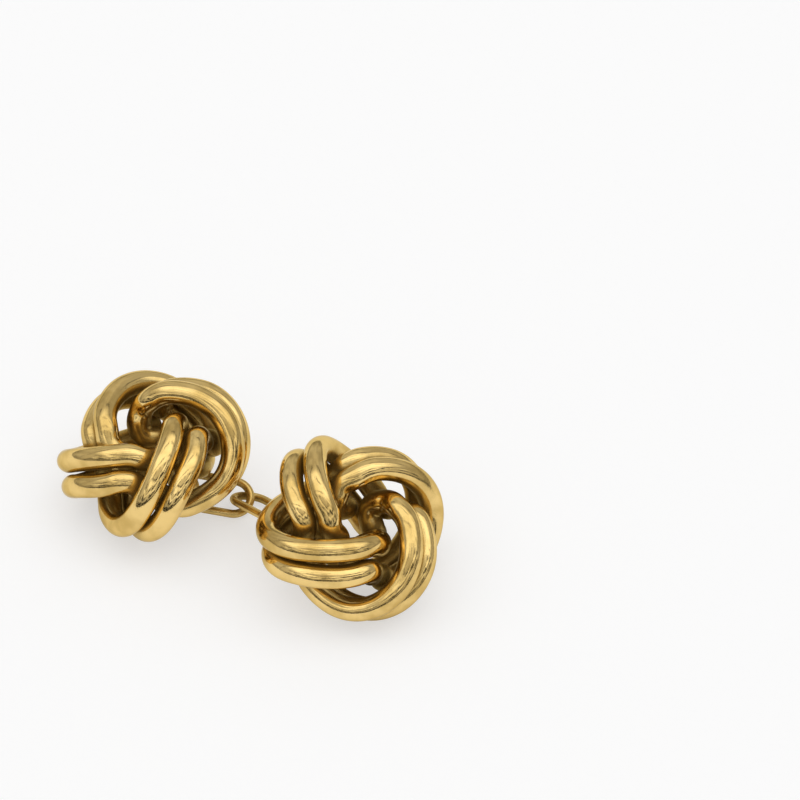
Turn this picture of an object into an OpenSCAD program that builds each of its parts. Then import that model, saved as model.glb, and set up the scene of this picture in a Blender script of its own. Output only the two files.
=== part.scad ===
// One cufflink: two love-knot heads of round gold tube, joined at their backs by a short chain.
// It lies as it was laid down, on the backs of both heads. Origin: on the table, midway between them.

/* [Tube] */
// Diameter of the gold tube
tube_d = 1.81; // [1.4:0.01:1.85]
// Gap kept between tubes that lie side by side
tube_gap = 0.03; // [0.02:0.01:0.2]

/* [Left head] */
// Centre of the left head: right, back, up
left_at = [-7.25, 3.55, 5.2];
// Heading that the left face leans towards, degrees
left_heading = 178; // [0:1:360]
// How far the left face leans from straight up, degrees
left_lean = 20; // [0:0.5:45]
// Turn of the left knot about its own axis, degrees
left_turn = -89; // [-180:1:180]

/* [Right head] */
// Centre of the right head: right, back, up
right_at = [7.65, -4.25, 5.25];
// Heading that the right face leans towards, degrees
right_heading = -45; // [-180:1:180]
// How far the right face leans from straight up, degrees
right_lean = 25; // [0:0.5:45]
// Turn of the right knot about its own axis, degrees
right_turn = 76; // [-180:1:180]

/* [Chain] */
// Diameter of the chain wire
wire_d = 0.62; // [0.4:0.01:0.66]
// Radius of a chain link's round ends, to the middle of the wire
link_end_r = 1.3; // [1.2:0.05:1.4]
// Length of a chain link's straight sides
link_side = 2.8; // [2.4:0.1:3]
// Radius of a back ring's round ends, to the middle of the wire
ring_end_r = 0.95; // [0.9:0.05:1]
// Length of a back ring's straight sides
ring_side = 0.5; // [0.4:0.1:0.6]

/* [Hidden] */

tube_r = tube_d / 2;
wire_r = wire_d / 2;
half_pitch = (tube_d + tube_gap) / 2;

// Half the way of one tube through the knot. Each row is [azimuth about the knot's axis in
// degrees, radius, height], the last two in half pitches. The tube rises through the knot's middle,
// crosses over its neighbour on the face, rounds the rim, runs under the next band and ends there.
// The other half is the same way turned over, on the back.
STATIONS = [
  [-160, 2.45, 1.45],
  [-177, 2.95, 2.45],
  [165, 3.05, 3.2],
  [147, 3.55, 3.55],
  [124, 4.55, 3.45],
  [107, 5.7, 2.9],
  [93, 6.7, 1.8],
  [65, 6.8, -1.2],
  [34, 5.4, -2.1],
  [24, 5, -2.15],
  [15, 4.7, -1.75],
  [10, 4.55, -0.75]];

// Where each chain piece lies: [centre, roll, pitch and heading of its long axis in degrees]
LEFT_RING_AT = [[-5.1, 4, 1.75], [101, -25, 142]];
LINK_1_AT = [[-2.65, 3.25, 1.15], [25, 6, -8]];
LINK_2_AT = [[0.9, 1.55, 1.5], [-24, -18, -51]];
LINK_3_AT = [[3.65, -1.3, 1.5], [36, 11, -59]];
RIGHT_RING_AT = [[5.6, -3.65, 1.5], [-57, -14, -57]];

// A bend stops short of its end by this much, and a sleeve a hair wider closes the joint
joint_gap = 0.02;
sleeve_l = 0.08;
sleeve_extra = 0.01;

function unit(v) = v / norm(v);
function cylindrical(q) = half_pitch * [q[1] * cos(q[0]), q[1] * sin(q[0]), q[2]];
function turned_over(q) = [-q[0], q[1], -q[2]];

// Direction at b of the circle through a, b and c
function along(a, b, c) = unit(unit(b - a) * norm(c - b) + unit(c - b) * norm(b - a));

// Direction in which a single bend leaves its end when it arrives at the next station in direction t
function mirrored(t, chord) = 2 * (t * chord) * chord - t;

// How far two bends reach along their end directions to meet smoothly between two stations
function reach(v, t0, t1) = let (b = v * (t0 + t1), k = 2 * (1 - t0 * t1))
  (sqrt(b * b + k * (v * v)) - b) / k;

// Round tube along the circular arc that leaves a in direction t and ends at b
module bend(a, t, b) {
  chord = unit(b - a);
  half = acos(t * chord);
  inward = unit(chord - t * (t * chord));
  r = norm(b - a) / 2 / sin(half);
  c = a + r * inward;
  x = -inward;
  z = cross(x, t);
  trim = joint_gap / r * 180 / PI;
  multmatrix([[x[0], t[0], z[0], c[0]], [x[1], t[1], z[1], c[1]], [x[2], t[2], z[2], c[2]], [0, 0, 0, 1]])
    rotate([0, 0, trim])
      rotate_extrude(angle = 2 * (half - trim), $fn = 96)
        translate([r, 0])
          circle(r = tube_r, $fn = 32);
}

// Sleeve that closes the joint of two bends at p, where the tube runs in direction t
module sleeve(p, t) {
  translate(p)
    rotate([0, acos(t[2]), atan2(t[1], t[0])])
      cylinder(h = sleeve_l, r = tube_r + sleeve_extra, center = true, $fn = 32);
}

// Rounded end of the tube at p
module tip(p) {
  translate(p)
    sphere(r = tube_r + sleeve_extra, $fn = 32);
}

// Two bends that carry the tube from station a, direction ta, to station b, direction tb
module span(a, ta, b, tb) {
  d = reach(b - a, ta, tb);
  a_tip = a + d * ta;
  b_tip = b - d * tb;
  middle = (a_tip + b_tip) / 2;
  bend(a, ta, middle);
  bend(middle, unit(b_tip - a_tip), b);
  sleeve(middle, unit(b_tip - a_tip));
}

// One tube of the knot, about the knot's own axis, rounded off at both ends
module knot_tube() {
  half = len(STATIONS);
  last = 2 * half - 1;
  back = [for (i = [half - 1 : -1 : 0]) turned_over(STATIONS[i])];
  p = [for (q = concat(back, STATIONS)) cylindrical(q)];
  inner = [for (i = [1 : last - 1]) along(p[i - 1], p[i], p[i + 1])];
  first_t = mirrored(inner[0], unit(p[1] - p[0]));
  last_t = mirrored(inner[last - 2], unit(p[last] - p[last - 1]));
  t = concat([first_t], inner, [last_t]);
  union() {
    tip(p[0]);
    for (i = [0 : last - 1])
      span(p[i], t[i], p[i + 1], t[i + 1]);
    for (i = [1 : last - 1])
      sleeve(p[i], t[i]);
    tip(p[last]);
  }
}

// Tube 1 to 4, each a quarter turn from the last
module turned_tube(tube) {
  color("goldenrod")
    rotate([0, 0, -90 * (tube - 1)])
      knot_tube();
}

module left_place() {
  translate(left_at)
    rotate([0, 0, left_heading])
      rotate([0, left_lean, 0])
        rotate([0, 0, left_turn])
          children();
}

module right_place() {
  translate(right_at)
    rotate([0, 0, right_heading])
      rotate([0, right_lean, 0])
        rotate([0, 0, right_turn])
          children();
}

module left_tube(tube) {
  left_place()
    turned_tube(tube);
}

module right_tube(tube) {
  right_place()
    turned_tube(tube);
}

// Closed oval of wire, lying along x in the xy plane
module oval(end_r, side) {
  color("darkgoldenrod")
    union()
      for (turn = [0, 180])
        rotate([0, 0, turn]) {
          translate([side / 2, 0, 0])
            rotate([0, 0, -90])
              rotate_extrude(angle = 180, $fn = 64)
                translate([end_r, 0])
                  circle(r = wire_r, $fn = 24);
          translate([0, end_r, 0])
            rotate([0, 90, 0])
              cylinder(h = side, r = wire_r, center = true, $fn = 24);
        }
}

module place(at) {
  translate(at[0])
    rotate(at[1])
      children();
}

module left_back_ring() {
  place(LEFT_RING_AT)
    oval(ring_end_r, ring_side);
}

module chain_link_1() {
  place(LINK_1_AT)
    oval(link_end_r, link_side);
}

module chain_link_2() {
  place(LINK_2_AT)
    oval(link_end_r, link_side);
}

module chain_link_3() {
  place(LINK_3_AT)
    oval(link_end_r, link_side);
}

module right_back_ring() {
  place(RIGHT_RING_AT)
    oval(ring_end_r, ring_side);
}

left_tube(1);  // left_tube1
left_tube(2);  // left_tube2
left_tube(3);  // left_tube3
left_tube(4);  // left_tube4
right_tube(1);  // right_tube1
right_tube(2);  // right_tube2
right_tube(3);  // right_tube3
right_tube(4);  // right_tube4
left_back_ring();
chain_link_1();
chain_link_2();
chain_link_3();
right_back_ring();
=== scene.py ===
"""Dresses a knot cufflink: polished gold on two love-knot heads and the chain between them."""

import logging
import math
from dataclasses import dataclass, field
from enum import Enum
from typing import Any, Iterable, Sequence, Union

import bpy
from mathutils import Matrix, Vector


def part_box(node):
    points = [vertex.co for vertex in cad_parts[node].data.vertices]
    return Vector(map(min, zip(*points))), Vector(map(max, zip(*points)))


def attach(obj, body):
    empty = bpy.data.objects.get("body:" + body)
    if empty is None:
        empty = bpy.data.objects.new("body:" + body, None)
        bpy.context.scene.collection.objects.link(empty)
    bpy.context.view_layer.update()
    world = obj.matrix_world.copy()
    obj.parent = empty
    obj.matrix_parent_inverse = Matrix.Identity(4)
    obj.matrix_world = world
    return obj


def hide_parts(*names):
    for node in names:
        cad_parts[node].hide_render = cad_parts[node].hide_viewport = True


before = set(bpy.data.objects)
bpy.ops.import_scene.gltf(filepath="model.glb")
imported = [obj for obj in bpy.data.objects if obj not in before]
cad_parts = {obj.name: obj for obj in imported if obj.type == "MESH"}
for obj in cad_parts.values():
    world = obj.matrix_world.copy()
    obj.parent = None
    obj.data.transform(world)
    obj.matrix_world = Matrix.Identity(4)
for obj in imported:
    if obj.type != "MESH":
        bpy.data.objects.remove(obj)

logging.basicConfig(level=logging.INFO, format="%(message)s")
log = logging.getLogger("cufflink")

MM = 0.001
DEGREES = 180 / math.pi
WHITE = (1.0, 1.0, 1.0, 1.0)
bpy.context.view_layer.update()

Colour = tuple[float, float, float, float]
Triple = tuple[float, float, float]


class Slot(Enum):
    """The record's material slots."""

    TUBE = "tube"
    WIRE = "wire"


class Value:
    """One output socket of a shader graph, on which Python arithmetic adds Math nodes."""

    def __init__(self, graph: "Graph", socket: bpy.types.NodeSocket) -> None:
        """Wraps a socket.

        Args:
            graph: The graph that the socket belongs to.
            socket: The output socket.
        """
        self.graph = graph
        self.socket = socket

    def _math(self, operation: str, *terms: Any) -> "Value":
        """Adds one Math node over the given terms."""
        node = self.graph.node("ShaderNodeMath", {"operation": operation}, dict(enumerate(terms)))
        return Value(self.graph, node.outputs[0])

    def __add__(self, other: Any) -> "Value":
        """This value plus another."""
        return self._math("ADD", self, other)

    __radd__ = __add__

    def __mul__(self, other: Any) -> "Value":
        """This value times another."""
        return self._math("MULTIPLY", self, other)

    __rmul__ = __mul__

    def __sub__(self, other: Any) -> "Value":
        """This value less another."""
        return self._math("SUBTRACT", self, other)

    def __rsub__(self, other: Any) -> "Value":
        """Another value less this one."""
        return self._math("SUBTRACT", other, self)

    def root(self) -> "Value":
        """The square root of this value."""
        return self._math("SQRT", self)

    def angle_to(self, other: Any) -> "Value":
        """The angle whose tangent is this value over another, in radians."""
        return self._math("ARCTAN2", self, other)


class Graph:
    """A node tree that is written as expressions."""

    def __init__(self, tree: bpy.types.NodeTree) -> None:
        """Empties a node tree.

        Args:
            tree: The tree of a material or a world.
        """
        self.tree = tree
        tree.nodes.clear()

    def node(self, kind: str, settings: dict[str, Any], inputs: dict[Any, Any]) -> bpy.types.Node:
        """Adds one node.

        Args:
            kind: Blender's type name of the node.
            settings: What is set before its sockets, such as a Math node's operation.
            inputs: Socket name or number to a number, a colour or a Value.

        Returns:
            The new node.
        """
        made = self.tree.nodes.new(kind)
        for name, setting in settings.items():
            setattr(made, name, setting)
        for key, given in inputs.items():
            socket = made.inputs[key]
            if isinstance(given, Value):
                self.tree.links.new(given.socket, socket)
            else:
                socket.default_value = given
        return made

    def mix(self, share: Any, first: Any, second: Any) -> Value:
        """Mixes two colours.

        Args:
            share: How much of the second colour shows.
            first: The colour at share 0.
            second: The colour at share 1.

        Returns:
            The mixed colour.
        """
        made = self.node("ShaderNodeMix", {"data_type": "RGBA"}, {0: share, 6: first, 7: second})
        return Value(self, made.outputs[2])

    def smooth_step(self, value: Value, low: float, high: float) -> Value:
        """Turns a value smoothly from 0 to 1 as it goes from low to high."""
        made = self.node("ShaderNodeMapRange", {"interpolation_type": "SMOOTHSTEP"}, {0: value, 1: low, 2: high})
        return Value(self, made.outputs[0])

    def band(self, value: Value, low: float, high: float, blur: float) -> Value:
        """One between two values and nothing outside, with soft edges.

        Args:
            value: The value that is tested.
            low: Where the band starts.
            high: Where it ends.
            blur: Half the width of its soft edges.

        Returns:
            How far the value is in the band.
        """
        rise = self.smooth_step(value, low - blur, low + blur)
        fall = self.smooth_step(value, high + blur, high - blur)
        return rise * fall

    def noise(self, place: Value, scale: float, detail: float) -> Value:
        """Soft noise between 0 and 1 over a place."""
        made = self.node("ShaderNodeTexNoise", {}, {"Vector": place, "Scale": scale, "Detail": detail})
        return Value(self, made.outputs["Fac"])


@dataclass(frozen=True)
class PolishedGold:
    """Worn polished yellow gold: soft dents, rubbed and tarnished patches, fine scratches, and rougher creases
    darkened with painted shade.

    Sizes, depths and reaches are in metres. A noise pair gives the noise at which a mark starts and is full, and
    crease_open gives how open a place is where the painted shade in creases starts and where it is full.
    """

    name: str
    colour: Colour = (0.87, 0.62, 0.238, 1.0)
    edge_tint: Colour = (0.78, 0.72, 0.55, 1.0)
    roughness: float = 0.05
    tarnish: Colour = (0.56, 0.37, 0.11, 1.0)
    tarnish_share: float = 0.8
    haze: float = 0.09
    haze_size: float = 2.2 * MM
    haze_detail: float = 3
    haze_noise: tuple[float, float] = (0.35, 0.7)
    # Painted shade: the dark colour that creases and hollows are darkened towards, by how shut in they are.
    crease_shade: Colour = (0.36, 0.24, 0.065, 1.0)
    crease_dullness: float = 0.5
    crease_reach: float = 3.6 * MM
    crease_open: tuple[float, float] = (0.8, 0.15)
    occlusion_rays: int = 8
    bump_detail: float = 1
    dent_size: float = 1.6 * MM
    dent_depth: float = 0.016 * MM
    ripple_size: float = 0.45 * MM
    ripple_depth: float = 0.0026 * MM
    hairline_detail: float = 0
    hairline_size: float = 0.05 * MM
    hairline_length: float = 1.4 * MM
    hairline_depth: float = 0.0006 * MM
    hairline_noise: tuple[float, float] = (0.62, 0.72)
    hairline_turns: Sequence[Triple] = ((20.0, 35.0, 10.0), (-50.0, 15.0, 100.0))

    def make(self) -> bpy.types.Material:
        """Builds the material.

        Returns:
            The material, ready for a slot.
        """
        material = bpy.data.materials.new(self.name)
        material.use_nodes = True
        graph = Graph(material.node_tree)
        place = Value(graph, graph.node("ShaderNodeTexCoord", {}, {}).outputs["Object"])
        haze = graph.smooth_step(graph.noise(place, 1 / self.haze_size, self.haze_detail), *self.haze_noise)
        # Painted shade: ambient occlusion darkens the colour towards the dark crease colour in creases and
        # hollows, and also makes them rougher.
        occlusion = graph.node("ShaderNodeAmbientOcclusion", {"samples": self.occlusion_rays},
                               {"Distance": self.crease_reach})
        depth = graph.smooth_step(Value(graph, occlusion.outputs["AO"]), *self.crease_open)
        colour = graph.mix(self.tarnish_share * haze, self.colour, self.tarnish)
        colour = graph.mix(depth, colour, self.crease_shade)
        dents = graph.noise(place, 1 / self.dent_size, self.bump_detail)
        ripples = graph.noise(place, 1 / self.ripple_size, self.bump_detail)
        bumped = self._bump(graph, dents, self.dent_depth, None)
        bumped = self._bump(graph, ripples, self.ripple_depth, bumped)
        bumped = self._bump(graph, self._hairlines(graph, place), self.hairline_depth, bumped)
        shader = graph.node("ShaderNodeBsdfPrincipled", {}, {
            "Base Color": colour,
            "Metallic": 1.0,
            "Specular Tint": self.edge_tint,
            "Roughness": self.roughness + self.haze * haze + self.crease_dullness * depth,
            "Normal": bumped,
        })
        graph.node("ShaderNodeOutputMaterial", {}, {"Surface": Value(graph, shader.outputs[0])})
        return material

    def _hairlines(self, graph: Graph, place: Value) -> Value:
        """Adds thin scratches that run two ways over the metal.

        Args:
            graph: The material's graph.
            place: The place on the piece.

        Returns:
            One on a scratch and nothing beside it.
        """
        total: Any = 0.0
        for turn in self.hairline_turns:
            turned = graph.node("ShaderNodeMapping", {}, {
                "Vector": place,
                "Rotation": [math.radians(angle) for angle in turn],
                "Scale": (1.0, self.hairline_size / self.hairline_length, 1.0),
            })
            lines = graph.noise(Value(graph, turned.outputs[0]), 1 / self.hairline_size, self.hairline_detail)
            total = graph.smooth_step(lines, *self.hairline_noise) + total
        return total

    @staticmethod
    def _bump(graph: Graph, height: Value, depth: float, under: Union[Value, None]) -> Value:
        """Lays one more height over a normal.

        Args:
            graph: The material's graph.
            height: The height, from 0 to 1.
            depth: How much a height of 1 stands out.
            under: The normal beneath, or None for the piece's own.

        Returns:
            The new normal.
        """
        inputs: dict[str, Any] = {"Strength": 1.0, "Distance": depth, "Height": height}
        if under is not None:
            inputs["Normal"] = under
        return Value(graph, graph.node("ShaderNodeBump", {}, inputs).outputs[0])


def deselect_all() -> None:
    """Leaves nothing selected, so that an operator acts on the new piece alone."""
    bpy.ops.object.select_all(action="DESELECT")


def start_ring(name: str, centre: Vector, direction: Vector, radius: float, sides: int) -> bpy.types.Object:
    """Adds a ring of edges across a wire's way, and opens it for editing with all of it selected.

    Args:
        name: The piece's name.
        centre: Where the wire starts.
        direction: Which way the wire runs there.
        radius: The wire's radius.
        sides: How many corners the ring has.

    Returns:
        The new object, in edit mode, with its place in its mesh.
    """
    deselect_all()
    bpy.ops.mesh.primitive_circle_add(vertices=sides, radius=radius, location=centre,
                                      rotation=direction.to_track_quat("Z", "Y").to_euler())
    piece = bpy.context.object
    piece.name = name
    bpy.ops.object.transform_apply(location=True, rotation=True, scale=True)
    bpy.ops.object.mode_set(mode="EDIT")
    bpy.ops.mesh.select_mode(type="EDGE")
    bpy.ops.mesh.select_all(action="SELECT")
    return piece


def select_open_edges() -> None:
    """Selects the edges at which the piece in edit mode is still open."""
    bpy.ops.mesh.select_all(action="DESELECT")
    bpy.ops.mesh.select_non_manifold(extend=False)


def finish_mesh() -> None:
    """Turns the faces of the piece in edit mode outward, smooths it and leaves edit mode."""
    bpy.ops.mesh.select_all(action="SELECT")
    bpy.ops.mesh.normals_make_consistent(inside=False)
    bpy.ops.object.mode_set(mode="OBJECT")
    bpy.ops.object.shade_smooth()


def copy_to(model: bpy.types.Object, name: str, place: Matrix) -> bpy.types.Object:
    """Copies a modelled piece, with a mesh of its own, to its place.

    Args:
        model: The piece that was modelled.
        name: The copy's name.
        place: Where the copy goes.

    Returns:
        The copy, whose object stays at the origin.
    """
    copy = bpy.data.objects.new(name, model.data.copy())
    copy.data.name = name
    copy.data.transform(place)
    bpy.context.scene.collection.objects.link(copy)
    return copy


def dress(piece: bpy.types.Object, material: bpy.types.Material, slot: Slot, node: str) -> None:
    """Gives a finished piece its material, hides the CAD node that it replaces, hangs it under the root body and
    logs how far it reaches past that node's box.

    Args:
        piece: The piece.
        material: Its finish.
        slot: The record's slot that the finish belongs to; not used.
        node: The CAD node that it replaces.
    """
    piece.data.materials.clear()
    piece.data.materials.append(material)
    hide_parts(node)
    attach(piece, "root")
    low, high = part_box(node)
    corners = [Vector(v.co) for v in piece.data.vertices]
    over = max(max(low[k] - c[k], c[k] - high[k]) for c in corners for k in range(3))
    log.info("%-20s %6d faces, %.4f mm past its node's box", piece.name, len(piece.data.polygons), over / MM)


@dataclass
class KnotTube:
    """One round tube of a love knot, swept through smooth bends about the knot's own axis.

    A station is azimuth in degrees, radius and height, the last two in half pitches of tubes that lie side by
    side. The stations rise through the knot's middle, cross its face, round the rim and end under the next band.
    """

    tube_d: float = 1.81 * MM
    tube_gap: float = 0.03 * MM
    sides: int = 48
    step: float = 0.22 * MM
    tip_rings: int = 10
    stations: Sequence[Triple] = (
        (-160, 2.45, 1.45), (-177, 2.95, 2.45), (165, 3.05, 3.2), (147, 3.55, 3.55), (124, 4.55, 3.45),
        (107, 5.7, 2.9), (93, 6.7, 1.8), (65, 6.8, -1.2), (34, 5.4, -2.1), (24, 5, -2.15),
        (15, 4.7, -1.75), (10, 4.55, -0.75),
    )

    def points(self) -> list[Vector]:
        """Places the stations: those of the face's half, and before them the same turned over for the back.

        Returns:
            Their places in turn, in metres.
        """
        half_pitch = (self.tube_d + self.tube_gap) / 2
        face = [half_pitch * Vector((r * math.cos(math.radians(a)), r * math.sin(math.radians(a)), h))
                for a, r, h in self.stations]
        back = [Vector((p.x, -p.y, -p.z)) for p in reversed(face)]
        return back + face

    @staticmethod
    def headings(p: Sequence[Vector]) -> list[Vector]:
        """Directions at the stations, each along the circle through it and its neighbours.

        Args:
            p: The stations.

        Returns:
            A direction for each; an end's is its neighbour's, mirrored so that one bend joins the two.
        """
        inner = []
        for before, here, after in zip(p, p[1:], p[2:]):
            back, on = here - before, after - here
            inner.append((back.normalized() * on.length + on.normalized() * back.length).normalized())
        first, last = (p[1] - p[0]).normalized(), (p[-1] - p[-2]).normalized()
        return [-inner[0].reflect(first), *inner, -inner[-1].reflect(last)]

    @staticmethod
    def reach(way: Vector, leaving: Vector, arriving: Vector) -> float:
        """How far two bends reach along their end directions to meet smoothly between two stations."""
        b, k = way.dot(leaving + arriving), 2 * (1 - leaving.dot(arriving))
        return (math.sqrt(b * b + k * way.dot(way)) - b) / k

    def bends(self) -> Iterable[tuple[Vector, Vector, Vector]]:
        """The bends in turn.

        Yields:
            Start, direction there and end of each circular bend.
        """
        p = self.points()
        t = self.headings(p)
        for a, ta, b, tb in zip(p, t, p[1:], t[1:]):
            d = self.reach(b - a, ta, tb)
            a_tip, b_tip = a + d * ta, b - d * tb
            middle = (a_tip + b_tip) / 2
            yield a, ta, middle
            yield middle, (b_tip - a_tip).normalized(), b

    def round_off(self, centre: Vector, outward: Vector) -> None:
        """Draws the selected end ring out into a half ball.

        Args:
            centre: The middle of the end ring.
            outward: The direction out of the tube there.
        """
        radius = self.tube_d / 2
        for k in range(1, self.tip_rings):
            low, high = (math.pi / 2 * j / self.tip_rings for j in (k - 1, k))
            rise = outward * radius * (math.sin(high) - math.sin(low))
            bpy.ops.mesh.extrude_region_move(TRANSFORM_OT_translate={"value": rise})
            centre = centre + rise
            bpy.ops.transform.resize(value=(math.cos(high) / math.cos(low),) * 3, center_override=centre)
        rise = outward * radius * (1 - math.sin(high))
        bpy.ops.mesh.extrude_region_move(TRANSFORM_OT_translate={"value": rise})
        bpy.ops.mesh.merge(type="CENTER")

    def model(self) -> bpy.types.Object:
        """Spins a ring along every bend in turn and rounds off both ends.

        Returns:
            The tube, about the knot's own axis.
        """
        bends = list(self.bends())
        piece = start_ring("knot_tube_model", bends[0][0], bends[0][1], self.tube_d / 2, self.sides)
        for a, t, b in bends:
            chord = (b - a).normalized()
            half = math.acos(t.dot(chord))
            inward = (chord - t * t.dot(chord)).normalized()
            radius = (b - a).length / 2 / math.sin(half)
            steps = max(2, round(2 * half * radius / self.step))
            bpy.ops.mesh.spin(steps=steps, angle=2 * half, center=a + radius * inward, axis=inward.cross(t))
        self.round_off(b, -t.reflect(chord))
        select_open_edges()
        self.round_off(bends[0][0], -bends[0][1])
        finish_mesh()
        return piece


@dataclass
class KnotHead:
    """One head of the cufflink: four tubes, each a quarter turn from the last.

    Its centre is in mm. In degrees are the heading that its face leans towards, how far the face leans from
    straight up, and the knot's turn about its own axis.
    """

    name: str
    at: Triple
    heading: float
    lean: float
    turn: float
    tubes: int = 4

    def place(self) -> Matrix:
        """Where the knot's own frame stands in the row frame."""
        return (Matrix.Translation(Vector(self.at) * MM)
                @ Matrix.Rotation(math.radians(self.heading), 4, "Z")
                @ Matrix.Rotation(math.radians(self.lean), 4, "Y")
                @ Matrix.Rotation(math.radians(self.turn), 4, "Z"))

    def build(self, model: bpy.types.Object, gold: bpy.types.Material) -> None:
        """Copies the modelled tube to the head's four places.

        Args:
            model: One tube, about the knot's own axis.
            gold: The tubes' finish.
        """
        for k in range(self.tubes):
            turned = Matrix.Rotation(-2 * math.pi * k / self.tubes, 4, "Z")
            piece = copy_to(model, f"{self.name}_knot_tube{k + 1}", self.place() @ turned)
            dress(piece, gold, Slot.TUBE, f"{self.name}_tube{k + 1}")


@dataclass
class WireOval:
    """A closed oval of round wire."""

    end_r: float
    side: float
    wire_d: float = 0.62 * MM
    sides: int = 32
    steps: int = 40

    def model(self) -> bpy.types.Object:
        """Spins one round end, draws out a side, spins the other end and closes the oval.

        Returns:
            The oval, lying along x in the xy plane.
        """
        start = Vector((self.side / 2, -self.end_r, 0))
        piece = start_ring("oval_model", start, Vector((1, 0, 0)), self.wire_d / 2, self.sides)
        bpy.ops.mesh.spin(steps=self.steps, angle=-math.pi, center=(self.side / 2, 0, 0), axis=(0, 0, 1))
        bpy.ops.mesh.extrude_region_move(TRANSFORM_OT_translate={"value": (-self.side, 0, 0)})
        bpy.ops.mesh.spin(steps=self.steps, angle=-math.pi, center=(-self.side / 2, 0, 0), axis=(0, 0, 1))
        select_open_edges()
        bpy.ops.mesh.bridge_edge_loops()
        finish_mesh()
        return piece


@dataclass
class Chain:
    """Three oval links between two small back rings."""

    ring: WireOval = field(default_factory=lambda: WireOval(0.95 * MM, 0.5 * MM))
    link: WireOval = field(default_factory=lambda: WireOval(1.3 * MM, 2.8 * MM))
    rings: dict[str, tuple[Triple, Triple]] = field(default_factory=lambda: {
        "left_back_ring": ((-5.1, 4, 1.75), (101, -25, 142)),
        "right_back_ring": ((5.6, -3.65, 1.5), (-57, -14, -57)),
    })
    links: dict[str, tuple[Triple, Triple]] = field(default_factory=lambda: {
        "chain_link_1": ((-2.65, 3.25, 1.15), (25, 6, -8)),
        "chain_link_2": ((0.9, 1.55, 1.5), (-24, -18, -51)),
        "chain_link_3": ((3.65, -1.3, 1.5), (36, 11, -59)),
    })

    @staticmethod
    def place(at: Triple, turn: Triple) -> Matrix:
        """Works out where a ring or link stands in the row frame.

        Args:
            at: Its centre, in mm.
            turn: Roll, pitch and heading of its long axis, in degrees.

        Returns:
            Its place.
        """
        roll, pitch, heading = (math.radians(angle) for angle in turn)
        return (Matrix.Translation(Vector(at) * MM)
                @ Matrix.Rotation(heading, 4, "Z")
                @ Matrix.Rotation(pitch, 4, "Y")
                @ Matrix.Rotation(roll, 4, "X"))

    def build(self, gold: bpy.types.Material) -> None:
        """Models one ring and one link, and copies each to its places.

        Args:
            gold: The wire's finish.
        """
        for oval, places in ((self.ring, self.rings), (self.link, self.links)):
            model = oval.model()
            for node, (at, turn) in places.items():
                piece = copy_to(model, f"{node}_wire", self.place(at, turn))
                dress(piece, gold, Slot.WIRE, node)
            bpy.data.objects.remove(model)


@dataclass(frozen=True)
class Stripe:
    """A soft-edged stripe of light or shade, between two angles in degrees."""

    low: float
    high: float
    blur: float
    broken: bool = False


@dataclass(frozen=True)
class Clouds:
    """Noise over the light: how fine it is, and where its patches start and are full."""

    scale: float
    detail: float
    start: float = 0.0
    full: float = 1.0


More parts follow.
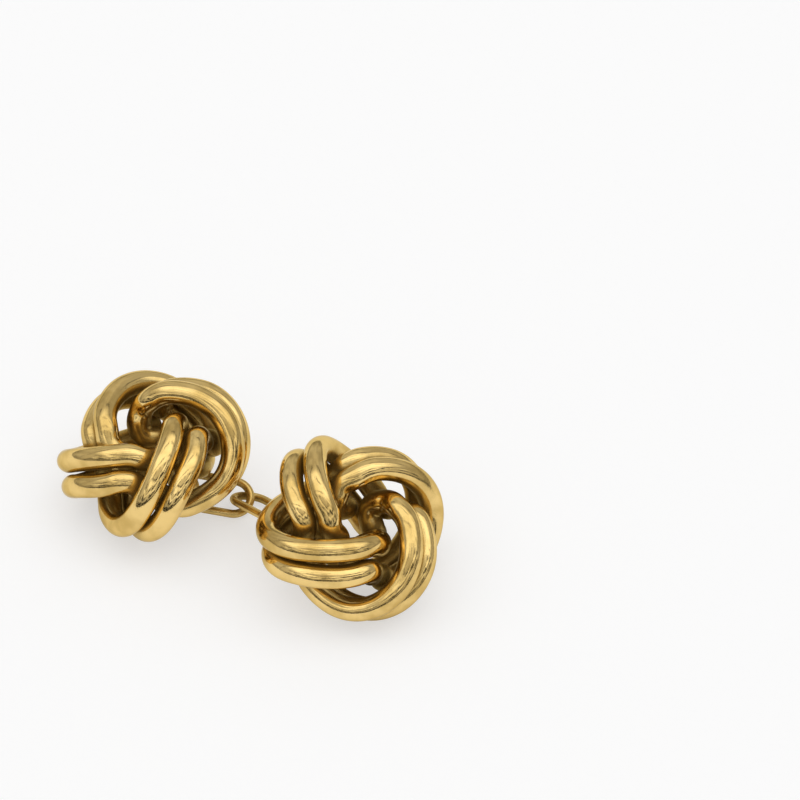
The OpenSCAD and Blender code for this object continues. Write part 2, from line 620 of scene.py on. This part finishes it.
@dataclass
class Studio:
    """A plain white floor in soft light from a large box overhead and pale walls, seen through a long lens.

    Stripes and other angles are in degrees. Strengths, patches, rises and gains add light, and a loss is the light
    or the share of it that is taken away.
    """

    floor_r: float = 4.0
    floor_corners: int = 96
    floor_grey: float = 0.5
    floor_glow: float = 0.545
    box_length: Stripe = Stripe(-24, 24, 7)
    box_width: Stripe = Stripe(-52, 52, 10)
    box_strength: float = 0.78
    wall_strength: float = 0.46
    wall_patches: float = 0.16
    patches: Clouds = Clouds(3.0, 1.0, 0.35, 0.65)
    wall_rise: float = 0.12
    wall_heights: tuple[float, float] = (20, 70)
    horizon: Stripe = Stripe(-10, 9, 5)
    horizon_loss: float = 0.2
    front_side: tuple[float, float] = (0.05, -0.3)
    front_angles: tuple[float, float] = (24, 32)
    front_gain: float = 0.14
    waver: Clouds = Clouds(2.5, 2.0)
    waver_angle: float = 24.0
    breaks: Clouds = Clouds(4.0, 1.0, 0.38, 0.52)
    seams: Sequence[Stripe] = (Stripe(-36, -31, 1), Stripe(-15, -12, 1), Stripe(8, 12, 1), Stripe(21, 27, 1))
    seam_waver: float = 0.4
    seam_loss: float = 0.62
    dark: Sequence[Stripe] = (Stripe(-30, 7, 1.5), Stripe(12, 21, 1.5, broken=True),
                              Stripe(29, 36, 1.5, broken=True), Stripe(46, 49, 1.5))
    dark_loss: float = 0.96
    bright: Sequence[Stripe] = (Stripe(38, 45, 2), Stripe(23, 27, 2))
    bright_gain: float = 0.5
    elevation: float = 45.5
    distance: float = 2.4
    frame_width: float = 60.28 * MM
    sensor: float = 36.0
    clip: tuple[float, float] = (10 * MM, 100.0)
    aim: Triple = (11.28, 9.42, 5.0)

    def build(self) -> None:
        """Sets the floor, the light and the camera."""
        self._floor()
        self._light()
        self._camera()
        bpy.context.scene.view_settings.view_transform = "Standard"

    def _floor(self) -> None:
        """Lays a round white floor that glows a little, as the top of a light table does."""
        deselect_all()
        bpy.ops.mesh.primitive_circle_add(vertices=self.floor_corners, radius=self.floor_r, fill_type="NGON")
        floor = bpy.context.object
        floor.name = "floor"
        material = bpy.data.materials.new("white_floor")
        material.use_nodes = True
        graph = Graph(material.node_tree)
        shader = graph.node("ShaderNodeBsdfPrincipled", {}, {
            "Base Color": (self.floor_grey,) * 3 + (1.0,),
            "Roughness": 1.0,
            "Specular IOR Level": 0.0,
            "Emission Color": WHITE,
            "Emission Strength": self.floor_glow,
        })
        graph.node("ShaderNodeOutputMaterial", {}, {"Surface": Value(graph, shader.outputs[0])})
        floor.data.materials.append(material)

    @staticmethod
    def _clouds(graph: Graph, direction: Value, clouds: Clouds) -> Value:
        """One within the patches and nothing between them."""
        noise = graph.noise(direction, clouds.scale, clouds.detail)
        return graph.smooth_step(noise, clouds.start, clouds.full)

    @staticmethod
    def _stripes(graph: Graph, angle: Value, stripes: Sequence[Stripe], breaks: Value) -> Value:
        """Adds up stripes over an angle.

        Args:
            graph: The world's graph.
            angle: The angle across the stripes, in degrees.
            stripes: The stripes.
            breaks: What the broken stripes are faded by.

        Returns:
            One within a stripe and nothing outside.
        """
        total: Any = 0.0
        for stripe in stripes:
            drawn = graph.band(angle, stripe.low, stripe.high, stripe.blur)
            total = (breaks * drawn if stripe.broken else drawn) + total
        return total

    def _light(self) -> None:
        """Surrounds the piece with soft studio light: a large box overhead, pale walls, a striped front.

        Forward is the angle from straight up towards the camera, sideways the angle from straight up to the right,
        and height the angle over the horizon.
        """
        world = bpy.data.worlds.new("studio")
        bpy.context.scene.world = world
        world.use_nodes = True
        graph = Graph(world.node_tree)
        direction = Value(graph, graph.node("ShaderNodeTexCoord", {}, {}).outputs["Generated"])
        split = graph.node("ShaderNodeSeparateXYZ", {}, {0: direction})
        x, y, z = (Value(graph, split.outputs[k]) for k in range(3))
        forward = (0.0 - y).angle_to(z) * DEGREES
        sideways = x.angle_to(z) * DEGREES
        height = z.angle_to((x * x + y * y).root()) * DEGREES
        waver = (graph.noise(direction, self.waver.scale, self.waver.detail) * self.waver_angle
                 - self.waver_angle / 2)
        breaks = self._clouds(graph, direction, self.breaks)
        patches = self._clouds(graph, direction, self.patches)

        box = (self._stripes(graph, forward, [self.box_length], breaks)
               * self._stripes(graph, sideways, [self.box_width], breaks))
        walls = (self.wall_strength + self.wall_patches * patches
                 + self.wall_rise * graph.smooth_step(height, *self.wall_heights)
                 - self.horizon_loss * self._stripes(graph, height, [self.horizon], breaks))
        front = graph.smooth_step(y, *self.front_side) * graph.smooth_step(forward, *self.front_angles)
        bright = self._stripes(graph, height + waver, self.bright, breaks)
        dark = self._stripes(graph, height + waver, self.dark, breaks)
        seams = breaks * self._stripes(graph, forward + self.seam_waver * waver, self.seams, breaks)
        strength = walls + self.box_strength * box + front * (self.front_gain + self.bright_gain * bright)
        strength = strength * (1.0 - self.seam_loss * seams) * (1.0 - self.dark_loss * front * dark)
        light = graph.node("ShaderNodeBackground", {}, {"Color": WHITE, "Strength": strength})
        graph.node("ShaderNodeOutputWorld", {}, {"Surface": Value(graph, light.outputs[0])})

    def _camera(self) -> None:
        """Looks along +Y and down on the pair of heads, as the photograph does."""
        up = math.radians(self.elevation)
        back = Vector((0, -math.cos(up), math.sin(up)))
        camera = bpy.data.cameras.new("camera")
        camera.sensor_width = self.sensor
        camera.lens = self.sensor * self.distance / self.frame_width
        camera.clip_start, camera.clip_end = self.clip
        seen = bpy.data.objects.new("camera", camera)
        seen.location = Vector(self.aim) * MM + back * self.distance
        seen.rotation_euler = (-back).to_track_quat("-Z", "Y").to_euler()
        bpy.context.scene.collection.objects.link(seen)
        bpy.context.scene.camera = seen


def main() -> None:
    """Builds the heads, the chain and the studio."""
    tube_gold = PolishedGold("polished_gold_tube").make()
    wire_gold = PolishedGold("drawn_gold_wire", roughness=0.16, dent_depth=0.003 * MM).make()
    model = KnotTube().model()
    KnotHead("left", (-7.25, 3.55, 5.2), heading=178, lean=20, turn=-89).build(model, tube_gold)
    KnotHead("right", (7.65, -4.25, 5.25), heading=-45, lean=25, turn=76).build(model, tube_gold)
    bpy.data.objects.remove(model)
    Chain().build(wire_gold)
    Studio().build()


if __name__ == "__main__":
    main()
